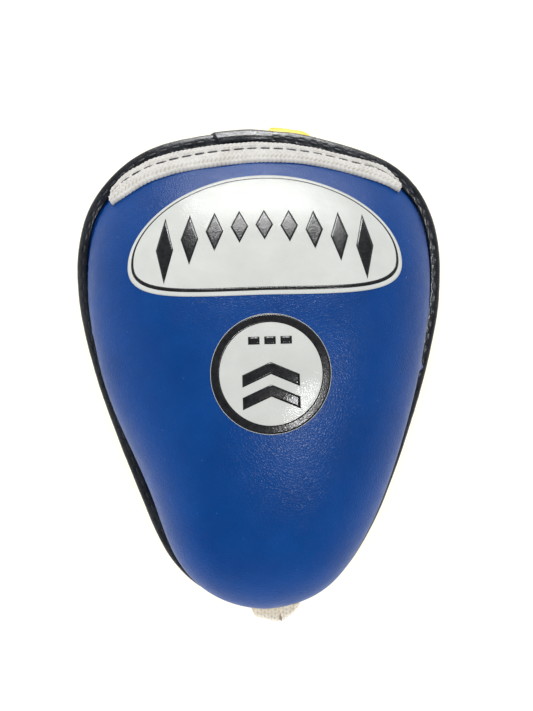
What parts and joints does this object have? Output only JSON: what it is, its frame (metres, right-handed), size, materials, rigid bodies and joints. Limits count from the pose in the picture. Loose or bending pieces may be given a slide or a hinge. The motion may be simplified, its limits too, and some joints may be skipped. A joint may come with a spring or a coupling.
{
  "type": "steel-cup groin guard",
  "caption": "Groin guard for Thai boxing: padded steel cup under a domed blue leathercloth face, with a padded rear ring, a bound rim, a waist tape and a crotch loop.",
  "frame": {"origin": "on the resting face, below the middle of the guard's box", "axes": "+Z to the front of the face, +Y to the waist edge, +X to the right with the face towards the viewer and the waist up"},
  "size_m": [0.138, 0.1894, 0.0704],
  "materials": {
    "cup_steel": "plain sheet steel, satin",
    "trim_vinyl": "soft vinyl",
    "foam": "closed-cell foam",
    "face_leather": "pebbled leathercloth, satin",
    "rear_leather": "smooth leathercloth",
    "binding_vinyl": "glossy leathercloth strip",
    "thread": "bonded sewing thread",
    "tape": "braided cotton",
    "label_film": "printed vinyl film",
    "label_print": "black print"
  },
  "bodies": {
    "root": {"steel_cup": "cup_steel", "cup_edge_trim": "trim_vinyl", "impact_foam": "foam", "face_cover": "face_leather", "rim_foam": "foam", "rear_cover": "rear_leather", "edge_binding": "binding_vinyl", "binding_stitches": "thread", "waist_band": "tape", "waist_band_stitches": "thread", "crotch_loop": "tape", "crotch_loop_stitches": "thread", "oval_label": "label_film", "oval_label_line": "label_print", "oval_label_marks": "label_print", "size_label": "label_film", "size_label_ring": "label_print", "size_label_marks": "label_print"}
  },
  "joints": []
}
